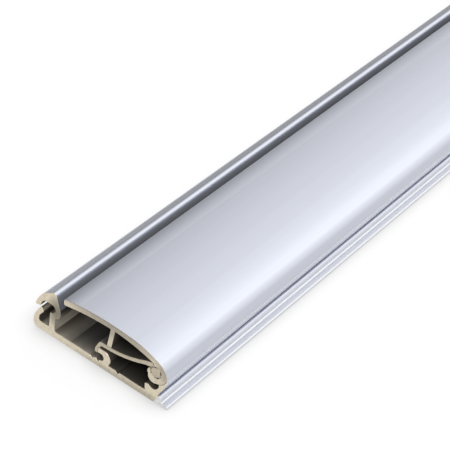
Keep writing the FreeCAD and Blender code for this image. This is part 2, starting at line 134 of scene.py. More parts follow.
class Section:
    """A profile's section, drawn as outlines that are added and cut in order."""

    max_turn = math.radians(5.0)
    max_sag = 0.004
    shortest = 0.02
    weld = 1e-6

    def __init__(self) -> None:
        """Start with an empty section."""
        self.points: list[Vector] = []
        self.faces: list[list[int]] = []
        self.bends: list[Bend | None] = []
        self.sides: list[Side] = []

    def _store(self, corners: list[Vector], bends: list[Bend | None], side: Side) -> None:
        """Keep one sampled outline.

        Args:
            corners: The outline's points in order.
            bends: The circle that each stretch lies on, or None where it is straight.
            side: Whether the outline adds metal or cuts it.
        """
        area = sum(a.x * b.y - b.x * a.y for a, b in zip(corners, corners[1:] + corners[:1]))
        if area < 0:
            corners = corners[::-1]
            bends = bends[:-1][::-1] + bends[-1:]
        first = len(self.points)
        self.points += corners
        self.faces.append(list(range(first, first + len(corners))))
        self.bends += bends
        self.sides.append(side)

    def _steps(self, radius: float, turn: float) -> int:
        """Return how many chords follow an arc of a radius and a turn closely enough."""
        by_sag = 2 * math.acos(max(0.0, 1 - self.max_sag / radius))
        return max(2, math.ceil(turn / min(self.max_turn, by_sag)))

    def _arc(self, start: Vector, end: Vector, bulge: float) -> tuple[Bend, list[Vector]]:
        """Sample an arc.

        Args:
            start: Where it starts.
            end: Where it ends.
            bulge: The tangent of a quarter of its turn.

        Returns:
            The circle that it lies on, and its points from the start to before the end.
        """
        chord = end - start
        across = Vector((-chord.y, chord.x))
        centre = (start + end) / 2 + across * ((1 - bulge * bulge) / (4 * bulge))
        spoke = start - centre
        turn = 4 * math.atan(bulge)
        count = self._steps(spoke.length, abs(turn))
        points = [start]
        for step in range(1, count):
            angle = turn * step / count
            points.append(centre + Vector((
                spoke.x * math.cos(angle) - spoke.y * math.sin(angle),
                spoke.x * math.sin(angle) + spoke.y * math.cos(angle),
            )))
        return Bend(centre), points

    def outline(self, side: Side, stops: Sequence[tuple[float, ...]]) -> None:
        """Add or cut a closed outline.

        Args:
            side: Whether the outline adds metal or cuts it.
            stops: (x, z) or (x, z, bulge) of each corner. The bulge curves the stretch
                to the next corner, and a left turn is positive.
        """
        corners: list[Vector] = []
        bends: list[Bend | None] = []
        for stop, after in zip(stops, [*stops[1:], stops[0]]):
            bend, points = None, [Vector(stop[:2])]
            if len(stop) > 2:
                bend, points = self._arc(points[0], Vector(after[:2]), stop[2])
            corners += points
            bends += [bend] * len(points)
        self._store(corners, bends, side)

    def circle(self, side: Side, x: float, z: float, radius: float) -> None:
        """Add or cut a full circle.

        Args:
            side: Whether the circle adds metal or cuts it.
            x: Place of the centre across the rail.
            z: Height of the centre.
            radius: The circle's radius.
        """
        centre = Vector((x, z))
        count = self._steps(radius, 2 * math.pi)
        angles = [2 * math.pi * step / count for step in range(count)]
        corners = [centre + radius * Vector((math.cos(angle), math.sin(angle))) for angle in angles]
        self._store(corners, [Bend(centre)] * count, side)

    def _is_metal(self, covers: Sequence[int]) -> bool:
        """Return whether a triangle under these outlines ends up as metal."""
        return bool(covers) and self.sides[max(covers)] is Side.ADD

    def loop(self) -> list[Stretch]:
        """Join the outlines into one closed loop, with the metal on its left.

        Returns:
            The loop's stretches in order.
        """
        drawn = [pair for face in self.faces for pair in zip(face, face[1:] + face[:1])]
        verts, edges, faces, _, edge_ids, face_ids = geometry.delaunay_2d_cdt(
            self.points, drawn, self.faces, 0, self.weld, True
        )
        bend_of = {frozenset(pair): self.bends[min(ids)] for pair, ids in zip(edges, edge_ids) if ids}
        borders: set[tuple[int, int]] = set()
        for face, covers in zip(faces, face_ids):
            if self._is_metal(covers):
                borders.update(zip(face, face[1:] + face[:1]))
        following = {start: end for start, end in borders if (end, start) not in borders}
        chain = [min(following)]
        while following[chain[-1]] != chain[0]:
            chain.append(following[chain[-1]])
        if len(chain) != len(following):
            raise ValueError("the outlines don't join into one loop")
        kept = [chain[0]]
        for index in chain[1:]:
            if (verts[index] - verts[kept[-1]]).length > self.shortest:
                kept.append(index)
        return [
            self._stretch(verts[start], verts[end], bend_of.get(frozenset((start, following[start]))))
            for start, end in zip(kept, kept[1:] + kept[:1])
        ]

    @staticmethod
    def _stretch(start: Vector, end: Vector, bend: Bend | None) -> Stretch:
        """Return one stretch with its outward normals.

        Args:
            start: Where it starts.
            end: Where it ends.
            bend: The circle that it lies on, or None.
        """
        chord = (end - start).normalized()
        flat = Vector((chord.y, -chord.x))
        if bend is None:
            return Stretch(start, end, flat, flat)
        first, last = bend.normal(start), bend.normal(end)
        if first.dot(flat) < 0:
            first, last = -first, -last
        return Stretch(start, end, first, last)


@dataclass(frozen=True)
class SawCut:
    """The fine broken edge that a saw and a deburring tool leave at a cut end, in mm."""

    depth: float = 0.12
    inset: float = 0.10
    sharpest: float = 0.35

    def shrink(self, loop: Sequence[Stretch]) -> list[Vector]:
        """Return the loop's corners moved into the metal.

        Args:
            loop: The section's stretches.
        """
        corners = []
        for before, after in zip([loop[-1], *loop[:-1]], loop):
            first = before.end - before.start
            second = after.end - after.start
            first_out = Vector((first.y, -first.x)).normalized()
            second_out = Vector((second.y, -second.x)).normalized()
            lean = max(self.sharpest, 1 + first_out.dot(second_out))
            corners.append(after.start - (first_out + second_out) * (self.inset / lean))
        return corners


@dataclass(frozen=True)
class Extrusion:
    """A section drawn out along Y between two saw cuts."""

    name: str
    loop: list[Stretch]
    hollows: Sequence[Hollow]
    y_start: float
    y_end: float
    cut: SawCut
    weld: float = 1e-7

    def _surface(self, stretch: Stretch) -> Surface:
        """Return the kind of surface that a stretch of the outline draws out.

        Args:
            stretch: The stretch.
        """
        middle = (stretch.start + stretch.end) / 2
        inner = any(hollow.holds(middle) for hollow in self.hollows)
        return Surface.INNER if inner else Surface.DRAWN

    def build(self) -> bpy.types.Object:
        """Make the mesh with true normals on its curves.

        Returns:
            The new object, in the row frame, with one material index per surface kind.
        """
        count = len(self.loop)
        shrunk = self.cut.shrink(self.loop)
        full = [stretch.start for stretch in self.loop]
        rings = [
            (shrunk, self.y_start),
            (full, self.y_start + self.cut.depth),
            (full, self.y_end - self.cut.depth),
            (shrunk, self.y_end),
        ]
        verts = [(p.x * MM, y * MM, p.y * MM) for ring, y in rings for p in ring]
        faces: list[tuple[int, ...]] = []
        normals: list[Vector] = []
        kinds: list[int] = []
        drawn = [self._surface(stretch) for stretch in self.loop]
        for level, rise in enumerate((-1.0, 0.0, 1.0)):
            for index, stretch in enumerate(self.loop):
                after = (index + 1) % count
                low, high = level * count, (level + 1) * count
                faces.append((low + after, low + index, high + index, high + after))
                start, end = stretch.start_normal, stretch.end_normal
                normals += [Vector((n.x, rise, n.y)).normalized() for n in (end, start, start, end)]
                kinds.append(drawn[index].value if rise == 0.0 else Surface.SAWN.value)
        for y, first, outward in ((self.y_start, 0, -1), (self.y_end, 3 * count, 1)):
            for triangle in self._cap(shrunk, y, first, verts):
                faces.append(triangle if outward < 0 else triangle[::-1])
                normals += [Vector((0, outward, 0))] * 3
                kinds.append(Surface.SAWN.value)
        mesh = bpy.data.meshes.new(self.name)
        mesh.from_pydata(verts, [], faces)
        mesh.polygons.foreach_set("material_index", kinds)
        mesh.polygons.foreach_set("use_smooth", [True] * len(faces))
        mesh.normals_split_custom_set(normals)
        mesh.update()
        obj = bpy.data.objects.new(self.name, mesh)
        bpy.context.scene.collection.objects.link(obj)
        return obj

    def _cap(self, ring: list[Vector], y: float, first: int,
             verts: list[tuple[float, ...]]) -> Iterator[tuple[int, ...]]:
        """Fill the flat end of the extrusion.

        Args:
            ring: The corners of the end's outline.
            y: Where the end lies.
            first: Index of the ring's first corner among the vertices.
            verts: The mesh's vertices, which grow where the ring crosses itself.

        Returns:
            The triangles that fill the end.
        """
        order = list(range(len(ring)))
        points, _, triangles, sources, _, covers = geometry.delaunay_2d_cdt(
            ring, [], [order], 0, self.weld, True
        )
        place = []
        for point, ids in zip(points, sources):
            place.append(first + ids[0] if ids else len(verts))
            if not ids:
                verts.append((point.x * MM, y * MM, point.y * MM))
        return (tuple(place[k] for k in triangle) for triangle, cover in zip(triangles, covers) if cover)


@dataclass(frozen=True)
class BallJoint:
    """The joint on which the cover turns over the clip strip, in mm."""

    x: float
    height: float = 11.4
    radius: float = 1.9
    clearance: float = 0.08
    swing_radius: float = 4.2
    swing_start: float = math.radians(68.0)
    swing_end: float = math.radians(16.6)

    @property
    def swing_bow(self) -> float:
        """Bulge of the swing from its start to its end."""
        return math.tan((self.swing_start - self.swing_end) / 4)

    def swing(self, angle: float, radius: float) -> tuple[float, float]:
        """Return the point at an angle below the horizontal and a distance from the ball's centre."""
        return self.x + radius * math.cos(angle), self.height - radius * math.sin(angle)


@dataclass
class BaseProfile:
    """The profile that lies flat: hanging slot, hook, screw port, seat and foot, in mm."""

    left: float
    root_fillet: float = 0.5
    # From left to right along the floor
    curl_wall: float = 2.0
    slot_width: float = 4.0
    rib_thickness: float = 2.1
    chamber_width: float = 34.65
    seat_reach: float = 9.05
    floor_thickness: float = 2.5
    slot_floor: float = 3.05
    # Curl on the left of the slot
    corner_radius: float = 2.2
    curl_upright: float = 2.7
    curl_bend: float = 5.05
    curl_shoulder: float = 0.45
    curl_height: float = 8.72
    curl_lean: float = 1.45
    curl_crown: float = 1.1
    curl_crown_width: float = 0.4
    curl_crown_drop: float = 0.12
    curl_lip_round: float = 0.35
    curl_lip_drop: float = 0.47
    curl_lip_side: float = 0.97
    curl_lip_bottom: float = 1.47
    curl_throat: float = 0.25
    curl_throat_drop: float = 1.97
    curl_lip_bow: float = 0.3
    curl_crown_bow: float = 0.35
    curl_upper_bow: float = 0.056
    curl_lower_bow: float = 0.095
    # Hook over the slot
    pocket_offset: float = 0.5
    pocket_height: float = 10.5
    pocket_radius: float = 1.55
    pocket_flat: float = 2.6
    hook_reach: float = 5.68
    tip_width: float = 1.93
    tip_height: float = 8.85
    tip_side: float = 0.65
    tip_nose: float = 0.68
    tip_rise: float = 0.2
    tip_radius: float = 0.35
    brow_start: float = 2.9
    brow_height: float = 14.66
    facet_start: float = 2.0
    facet_height: float = 15.43
    ridge_offset: float = 0.42
    ridge_height: float = 16.84
    ridge_width: float = 1.32
    ridge_drop: float = 0.3
    flank_offset: float = 2.08
    flank_height: float = 15.9
    side_offset: float = 3.75
    side_top: float = 11.55
    side_bottom: float = 8.6
    ledge_width: float = 1.0
    ledge_height: float = 7.65
    ledge_rise: float = 0.3
    ledge_bow: float = 0.3
    side_bow: float = 0.185
    flank_bow: float = 0.061
    ridge_bow: float = 0.389
    facet_bow: float = 0.092
    brow_bow: float = 0.094
    tip_bow: float = 0.623
    tip_inner_bow: float = 0.23
    # Grooves and bead in the floor
    drill_groove_width: float = 1.6
    drill_groove_depth: float = 0.55
    drill_groove_bow: float = 0.2
    left_groove: float = 2.95
    right_groove: float = 6.75
    port_groove_offset: float = 0.75
    port_groove_radius: float = 0.45
    port_bead_offset: float = 1.7
    port_bead_radius: float = 0.4
    # Screw port
    port_offset: float = 17.95
    port_height: float = 4.0
    port_radius: float = 1.25
    port_wall: float = 2.5
    port_root: float = 3.15
    port_roof: float = 1.9
    port_roof_flat: float = 1.65
    port_lip: float = 1.1
    port_lip_round: float = 0.25
    port_ramp: float = 0.55
    port_ramp_depth: float = 0.25
    port_bow: float = 0.36
    # Seat of the cover
    finger_top: float = 5.4
    finger_width: float = 1.25
    finger_lean: float = 0.25
    finger_chamfer: float = 0.5
    seat_foot: float = 3.9
    seat_bend: float = 5.45
    seat_bend_height: float = 4.2
    seat_tip_round: float = 0.25
    seat_bow: float = 0.08
    trough_bow: float = 0.78
    finger_bow: float = 0.15
    # Stepped foot, from its tip
    foot_toe: float = 1.35
    foot_toe_side: float = 0.15
    foot_toe_rise: float = 0.32
    foot_tip_height: float = 0.58
    tongue_out: float = 0.4
    tongue_out_height: float = 1.06
    tongue_in: float = 2.0
    tongue_in_height: float = 1.34
    foot_bead: float = 2.5
    foot_bead_base: float = 1.94
    foot_bead_height: float = 3.47
    foot_bead_radius: float = 0.98
    foot_groove: float = 4.1
    foot_groove_height: float = 3.1
    foot_toe_bow: float = 0.13
    foot_edge_bow: float = 0.268
    foot_tip_bow: float = 0.364
    foot_fillet_bow: float = 0.364

    @property
    def slot_left(self) -> float:
        """Left face of the hanging slot."""
        return self.left + self.curl_wall

    @property
    def rib_left(self) -> float:
        """Left face of the rib beside the slot."""
        return self.slot_left + self.slot_width

    @property
    def rib_right(self) -> float:
        """Right face of the rib beside the slot."""
        return self.rib_left + self.rib_thickness

    @property
    def seat_left(self) -> float:
        """Left face of the seat's finger."""
        return self.rib_right + self.chamber_width

    @property
    def port_x(self) -> float:
        """Middle of the screw port."""
        return self.rib_right + self.port_offset

    @property
    def port_top(self) -> float:
        """Top of the screw port's roof."""
        return self.port_height + self.port_radius + self.port_roof

    def _floor(self, section: Section) -> None:
        """Draw the flat floor of the chamber.

        Args:
            section: The section to draw on.
        """
        left, right = self.rib_left, self.seat_left + self.seat_foot
        section.outline(Side.ADD, [
            (left, 0.0),
            (right, 0.0),
            (right, self.floor_thickness),
            (left, self.floor_thickness),
        ])

    def _curl(self, section: Section) -> None:
        """Draw the slot's floor and the wall that curls up on its left.

        Args:
            section: The section to draw on.
        """
        lip, top = self.slot_left + self.curl_lean, self.curl_height
        section.outline(Side.ADD, [
            (self.left + self.corner_radius, 0.0),
            (self.rib_left, 0.0),
            (self.rib_left, self.slot_floor),
            (self.slot_left + self.root_fillet, self.slot_floor, -QUARTER),
            (self.slot_left, self.slot_floor + self.root_fillet),
            (self.slot_left, self.curl_bend),
            (lip - self.curl_throat, top - self.curl_throat_drop),
            (lip, top - self.curl_lip_bottom),
            (lip, top - self.curl_lip_side, self.curl_lip_bow),
            (lip - self.curl_lip_round, top - self.curl_lip_drop),
            (lip - self.curl_crown + self.curl_crown_width, top, self.curl_crown_bow),
            (lip - self.curl_crown, top - self.curl_crown_drop, self.curl_upper_bow),
            (self.left + self.curl_shoulder, self.curl_bend, self.curl_lower_bow),
            (self.left, self.curl_upright),
            (self.left, self.corner_radius, QUARTER),
        ])

    def _hook(self, section: Section) -> None:
        """Draw the rib and the hook that arches over the slot.

        Args:
            section: The section to draw on.
        """
        rib, rib_right, fillet = self.rib_left, self.rib_right, self.root_fillet
        tip_left = rib - self.hook_reach
        tip_right = tip_left + self.tip_width
        tip_bottom = self.tip_height + self.tip_rise
        pocket = rib + self.pocket_offset
        section.outline(Side.ADD, [
            (rib - fillet, self.floor_thickness / 2),
            (rib_right + fillet, self.floor_thickness / 2),
            (rib_right + fillet, self.floor_thickness, -QUARTER),
            (rib_right, self.floor_thickness + fillet),
            (rib_right, self.ledge_height),
            (rib_right + self.ledge_width, self.ledge_height + self.ledge_rise, self.ledge_bow),
            (rib + self.side_offset, self.side_bottom, self.side_bow),
            (rib + self.side_offset, self.side_top),
            (rib + self.flank_offset, self.flank_height, self.flank_bow),
            (rib + self.ridge_offset + self.ridge_width, self.ridge_height - self.ridge_drop, self.ridge_bow),
            (rib + self.ridge_offset, self.ridge_height),
            (rib - self.facet_start, self.facet_height, self.facet_bow),
            (rib - self.brow_start, self.brow_height, self.brow_bow),
            (tip_left, self.tip_height + self.tip_side, self.tip_bow),
            (tip_left + self.tip_nose, self.tip_height),
            (tip_right - self.tip_radius, tip_bottom, QUARTER),
            (tip_right, tip_bottom + self.tip_radius, -self.tip_inner_bow),
            (pocket - self.pocket_flat, self.pocket_height + self.pocket_radius),
            (pocket, self.pocket_height + self.pocket_radius, -QUARTER),
            (pocket + self.pocket_radius, self.pocket_height, -QUARTER),
            (pocket, self.pocket_height - self.pocket_radius, QUARTER),
            (rib, self.pocket_height - self.pocket_radius - self.pocket_offset),
            (rib, self.slot_floor + fillet, -QUARTER),
            (rib - fillet, self.slot_floor),
        ])

    def _drill_groove(self, section: Section, centre: float) -> None:
        """Cut one shallow V that guides a drill.

        Args:
            section: The section to cut.
            centre: Middle of the groove.
        """
        half, flat = self.drill_groove_width / 2, self.drill_groove_width / 8
        top, depth = self.floor_thickness, self.drill_groove_depth
        section.outline(Side.CUT, [
            (centre - half, top),
            (centre - flat, top - depth, self.drill_groove_bow),
            (centre + flat, top - depth),
            (centre + half, top),
            (centre + half, top + depth),
            (centre - half, top + depth),
        ])

    def _port(self, section: Section) -> None:
        """Draw the open screw port, its lip, and the bead and groove beside it.

        Args:
            section: The section to draw on.
        """
        x, z, radius, floor = self.port_x, self.port_height, self.port_radius, self.floor_thickness
        lip, soft = x - self.port_lip, self.port_lip_round
        section.outline(Side.ADD, [
            (x + self.port_root, floor / 2),
            (x + self.port_root, floor),
            (x + radius + self.port_wall, z, self.port_bow),
            (x + self.port_roof_flat, self.port_top),
            (lip + soft, self.port_top, QUARTER),
            (lip, self.port_top - soft),
            (lip, z + radius + soft, QUARTER),
            (lip + soft, z + radius),
            (x, z + radius, -QUARTER),
            (x + radius, z, -QUARTER),
            (x, z - radius),
            (x - self.port_ramp, floor - self.port_ramp_depth),
            (x - self.port_ramp, floor / 2),
        ])
        bead = self.port_bead_radius
        section.circle(Side.ADD, x - self.port_bead_offset, floor - bead / 2, bead)
        section.circle(Side.CUT, x - self.port_groove_offset, floor, self.port_groove_radius)

    def _seat(self, section: Section, joint: BallJoint) -> None:
        """Draw the finger, the trough and the outer wall that carry the cover.

        Args:
            section: The section to draw on.
            joint: The joint that the wall's inner face is concentric with.
        """
        start = joint.swing(joint.swing_start, joint.swing_radius)
        end = joint.swing(joint.swing_end, joint.swing_radius)
        left = self.seat_left
        section.outline(Side.ADD, [
            (left + self.finger_lean, 0.0),
            (left + self.seat_foot, 0.0),
            (left + self.seat_bend, self.seat_bend_height, self.seat_bow),
            (end[0] + self.seat_tip_round, end[1] - self.seat_tip_round, QUARTER),
            (*end, -joint.swing_bow),
            (*start, -self.trough_bow),
            (left + self.finger_width, self.finger_top, self.finger_bow),
            (left + self.finger_chamfer, self.finger_top, self.finger_bow),
            (left, self.finger_top - self.finger_chamfer),
            (left + self.finger_lean, self.floor_thickness + self.root_fillet),
        ])

    def _foot(self, section: Section) -> None:
        """Draw the stepped foot outside the seat.

        Args:
            section: The section to draw on.
        """
        left, right = self.seat_left + self.seat_foot, self.seat_left + self.seat_reach
        bead, radius = right - self.foot_bead, self.foot_bead_radius
        section.outline(Side.ADD, [
            (left, 0.0),
            (right - self.foot_toe, 0.0, self.foot_toe_bow),
            (right - self.foot_toe_side, self.foot_toe_rise, self.foot_edge_bow),
            (right, self.foot_tip_height, self.foot_tip_bow),
            (right - self.tongue_out, self.tongue_out_height),
            (right - self.tongue_in, self.tongue_in_height, -self.foot_fillet_bow),
            (bead, self.foot_bead_base),
            (bead, self.foot_bead_height - radius, QUARTER),
            (bead - radius, self.foot_bead_height),
            (right - self.foot_groove, self.foot_groove_height),
            (left, self.foot_groove_height),
        ])

    def section(self, joint: BallJoint) -> Section:
        """Draw the whole section.

        Args:
            joint: The joint that the seat is concentric with.

        Returns:
            The base profile's section.
        """
        section = Section()
        self._floor(section)
        self._curl(section)
        self._hook(section)
        self._drill_groove(section, self.port_x - self.left_groove)
        self._drill_groove(section, self.port_x + self.right_groove)
        self._port(section)
        self._seat(section, joint)
        self._foot(section)
        return section


@dataclass
class CoverProfile:
    """The arched profile that closes the chamber, with its rib and ball socket, in mm."""

    left: float
    top: float = 18.8
    wall: float = 1.9
    tip_drop: float = 1.8
    tip_wall: float = 2.05
    tip_round: float = 0.3
    tip_width: float = 0.65
    arch_left: float = 6.25
    arch_right: float = 7.95
    arch_drop: float = 0.6
    shoulder_drop: float = 2.9
    shoulder_lean: float = 0.15
    overhang: float = 0.32
    cavity_reach: float = 1.25
    cavity_height: float = 2.9
    nose_reach: float = 1.85
    nose_height: float = 0.8
    nose_tip: float = 2.9
    nose_drop: float = 1.5
    nose_step: float = 0.27
    bead_bottom: float = 4.32
    bead_side: float = 2.1
    rib_offset: float = 2.65
    rib_thickness: float = 1.6
    rib_lean: float = 0.7
    rib_fillet: float = 0.35
    ceiling_left_bow: float = 0.055
    ceiling_right_bow: float = 0.069
    nose_bow: float = 0.43
    bead_bow: float = 0.49
    shoulder_bow: float = 0.28
    arch_left_bow: float = 0.068
    arch_right_bow: float = 0.07

    def rib_right(self, base: BaseProfile) -> float:
        """Return the right face of the rib, which stands over the clip strip."""
        return base.port_x + self.rib_offset + self.rib_thickness / 2

    def section(self, base: BaseProfile, joint: BallJoint, strip_top: float) -> Section:
        """Draw the whole section.

        Args:
            base: The base profile, which places the rib.
            joint: The joint whose socket the cover carries.
            strip_top: Height of the clip strip's flat top.

        Returns:
            The cover profile's section.
        """
        ceiling, fillet = self.top - self.wall, self.rib_fillet
        rib_right = self.rib_right(base)
        rib_left = rib_right - self.rib_thickness
        top_left = rib_left + self.rib_lean - fillet
        top_right = rib_right + self.rib_lean + fillet
        tip_bottom = self.top - self.tip_drop - self.tip_wall
        inner = joint.swing_radius - joint.clearance
        start = joint.swing(joint.swing_start, inner)
        end = joint.swing(joint.swing_end, inner)
        arch_bow = 2 * self.arch_drop / (joint.x - self.arch_right - self.left - self.arch_left)
        x, z = joint.x, joint.height
        nose, nose_bottom = x - self.nose_tip, z - self.nose_drop
        rest = strip_top + joint.clearance
        section = Section()
        section.outline(Side.ADD, [
            (self.left + self.tip_width, tip_bottom, -self.ceiling_left_bow),
            (top_left, ceiling, -QUARTER),
            (top_left + fillet, ceiling - fillet),
            (rib_left, rest),
            (rib_right, rest),
            (top_right - fillet, ceiling - fillet, -QUARTER),
            (top_right, ceiling, -self.ceiling_right_bow),
            (x - self.cavity_reach, z + self.cavity_height),
            (x, z),
            (x - self.nose_reach, z + self.nose_height, self.nose_bow),
            (nose, nose_bottom),
            (nose + self.nose_step, nose_bottom - self.nose_step),
            (nose + self.nose_step, z - self.bead_side, self.bead_bow),
            (x, z - self.bead_bottom),
            (*start, joint.swing_bow),
            end,
            (end[0] + self.overhang, end[1] + self.overhang, self.shoulder_bow),
            (x + self.shoulder_lean, self.top - self.shoulder_drop, self.arch_right_bow),
            (x - self.arch_right, self.top - self.arch_drop, arch_bow),
            (self.left + self.arch_left, self.top - self.arch_drop, self.arch_left_bow),
            (self.left + self.tip_round, self.top - self.tip_drop, QUARTER),
            (self.left, self.top - self.tip_drop - self.tip_round),
            (self.left, tip_bottom + self.tip_width, QUARTER),
        ])
        section.circle(Side.CUT, x, z, joint.radius + joint.clearance)
        return section


@dataclass
class ClipStrip:
    """The springy strip between the screw port's lip and the cover's socket, in mm."""

    height: float = 8.4
    wall: float = 1.5
    slope: float = math.radians(24.0)
    hook_wall: float = 1.1
    hook_bottom: float = 5.0
    hook_height: float = 6.4
    bend_round: float = 0.5
    bend_reach: float = 0.95
    bend_side: float = 1.0
    bend_radius: float = 1.1
    shoulder: float = 2.1
    rise_reach: float = 4.05
    rise: float = 0.5
    throat_reach: float = 1.75
    throat: float = 1.05
    neck_reach: float = 1.5
    neck_drop: float = 0.1
    crown_reach: float = 2.2
    crown: float = 2.75
    web_bow: float = 0.098
    neck_bow: float = 0.2
    bend_bow: float = 0.25

    @property
    def top(self) -> float:
        """Height of the flat landing under the cover's rib."""
        return self.height + self.wall

    def section(self, base: BaseProfile, joint: BallJoint, landing_end: float) -> Section:
        """Draw the whole section.

        Args:
            base: The base profile, whose lip the strip hooks over.
            joint: The joint whose ball the strip carries.
            landing_end: Where the flat landing stops.

        Returns:
            The clip strip's section.
        """
        right = base.port_x - base.port_lip - joint.clearance
        left = right - self.hook_wall
        seat = base.port_top + joint.clearance
        x, z = joint.x, joint.height
        crown, rise = z + self.crown, z + self.rise
        section = Section()
        section.outline(Side.ADD, [
            (left, self.hook_bottom),
            (right, self.hook_bottom),
            (right, seat),
            (right + self.bend_round, seat),
            (right + self.bend_reach, self.height),
            (right + self.shoulder, self.height, self.web_bow),
            (x - self.rise_reach, rise),
            (x - self.throat_reach, z + self.throat),
            (x, z),
            (x - self.neck_reach, crown - self.neck_drop, self.neck_bow),
            (x - self.crown_reach, crown),
            (x - self.rise_reach, rise + self.wall / math.cos(self.slope), -self.web_bow),
            (landing_end, self.top),
            (left + self.bend_side + self.bend_radius, self.top, self.bend_bow),
            (left + self.bend_side, self.top - self.bend_radius),
            (left, self.hook_height),
        ])
        section.circle(Side.ADD, x, z, joint.radius)
        return section


class Nodes:
    """Short ways to add and join shader nodes in one node tree."""

    def __init__(self, tree: bpy.types.NodeTree) -> None:
        """Work in the given tree."""
        self.tree = tree

    def add(self, kind: str, **settings: object) -> bpy.types.Node:
        """Add a node.

        Args:
            kind: The node's type name.
            **settings: Values of its own properties.

        Returns:
            The new node.
        """
        node = self.tree.nodes.new(kind)
        for name, value in settings.items():
            setattr(node, name, value)
        return node

    def feed(self, target: Socket, value: Value) -> None:
        """Link a socket to a target, or set the target's own value.

        Args:
            target: The input socket.
            value: An output socket, or a number, vector or colour.
        """
        if isinstance(value, Socket):
            self.tree.links.new(value, target)
        else:
            target.default_value = (*value, 1.0) if target.type == "RGBA" else value

    def maths(self, operation: str, *values: Value) -> Socket:
        """Add a Math node.

        Args:
            operation: Its operation.
            *values: Numbers or sockets, in the order of its inputs.

        Returns:
            Its output socket.
        """
        node = self.add("ShaderNodeMath", operation=operation)
        for socket, value in zip(node.inputs, values):
            self.feed(socket, value)
        return node.outputs[0]

    def squares(self, first: Socket, second: Socket) -> Socket:
        """Return the sum of two numbers' squares."""
        return self.maths("MULTIPLY_ADD", first, first, self.maths("MULTIPLY", second, second))

    def place(self) -> Socket:
        """Return the place on the object, in mm."""
        node = self.add("ShaderNodeVectorMath", operation="MULTIPLY")
        self.feed(node.inputs[0], self.add("ShaderNodeTexCoord").outputs["Object"])
        self.feed(node.inputs[1], (1 / MM, 1 / MM, 1 / MM))
        return node.outputs[0]

    def split(self, vector: Socket) -> Sockets:
        """Return the X, Y and Z of a vector.

        Args:
            vector: The vector.
        """
        node = self.add("ShaderNodeSeparateXYZ")
        self.feed(node.inputs[0], vector)
        return node.outputs

    def dimmed(self, colour: Value, factor: Value) -> Socket:
        """Return a colour multiplied by a number.

        Args:
            colour: The colour.
            factor: The number.
        """
        node = self.add("ShaderNodeVectorMath", operation="SCALE")
        self.feed(node.inputs[0], colour)
        self.feed(node.inputs["Scale"], factor)
        return node.outputs[0]

    def noise(self, vector: Socket, scale: float, detail: float) -> Socket:
        """Return the value of a noise texture.

        Args:
            vector: Where it is read.
            scale: Its scale.
            detail: How many finer layers it has.
        """
        node = self.add("ShaderNodeTexNoise", noise_dimensions="3D")
        for name, value in (("Vector", vector), ("Scale", scale), ("Detail", detail)):
            self.feed(node.inputs[name], value)
        return node.outputs[0]

    def remap(self, value: Socket, low: Value, high: Value,
              source_low: float = 0.0, source_high: float = 1.0, smooth: bool = False) -> Socket:
        """Map a value to a new range.

        Args:
            value: The value to map.
            low: Result at source_low, a number or a socket.
            high: Result at source_high, a number or a socket.
            source_low: Low end of the source range.
            source_high: High end of the source range.
            smooth: Whether the change eases in and out.

        Returns:
            The mapped value.
        """
        node = self.add("ShaderNodeMapRange", interpolation_type="SMOOTHSTEP" if smooth else "LINEAR")
        names = ("Value", "From Min", "From Max", "To Min", "To Max")
        for name, given in zip(names, (value, source_low, source_high, low, high)):
            self.feed(node.inputs[name], given)
        return node.outputs[0]

    def around(self, grain: Socket, middle: float, spread: float) -> Socket:
        """Map noise to values round a middle, most of them within a spread of it."""
        return self.remap(grain, middle - spread, middle + spread, *GRAIN_SPAN)

    def ramp(self, value: Socket, stops: Sequence[tuple[float, float]]) -> Value:
        """Return a level that eases from stop to stop.

        Args:
            value: The value that the stops are placed along.
            stops: Place and level of each stop.
        """
        level: Value = stops[0][1]
        for (start, _), (end, after) in zip(stops, stops[1:]):
            level = self.remap(value, level, after, start, end, True)
        return level

    def mix(self, factor: Socket, first: Value, second: Value) -> Socket:
        """Return a mix of two colours.

        Args:
            factor: The share of the second.
            first: A tuple or a socket.
            second: A tuple or a socket.
        """
        # The node keeps its factor and its two colours at these places.
        node = self.add("ShaderNodeMix", data_type="RGBA")
        for index, value in ((0, factor), (6, first), (7, second)):
            self.feed(node.inputs[index], value)
        return node.outputs[2]

    def bump(self, height: Socket, strength: float, relief: float) -> Socket:
        """Return the normal of a surface with fine relief.

        Args:
            height: The relief's height, between 0 and 1.
            strength: How strongly it shows.
            relief: The whole height of the relief, in mm.
        """
        node = self.add("ShaderNodeBump")
        for name, value in (("Strength", strength), ("Distance", relief * MM), ("Height", height)):
            self.feed(node.inputs[name], value)
        return node.outputs[0]


class Coat(Nodes):
    """The nodes of a new material, round its Principled shader."""

    def __init__(self, name: str) -> None:
        """Make the material.

        Args:
            name: The material's name.
        """
        self.material = bpy.data.materials.new(name)
        self.material.use_nodes = True
        super().__init__(self.material.node_tree)

    def dress(self, values: dict[str, Value]) -> bpy.types.Material:
        """Feed the shader.

        Args:
            values: What each of the shader's sockets takes.

        Returns:
            The finished material.
        """
        shader = self.tree.nodes["Principled BSDF"]
        for name, value in values.items():
            self.feed(shader.inputs[name], value)
        return self.material


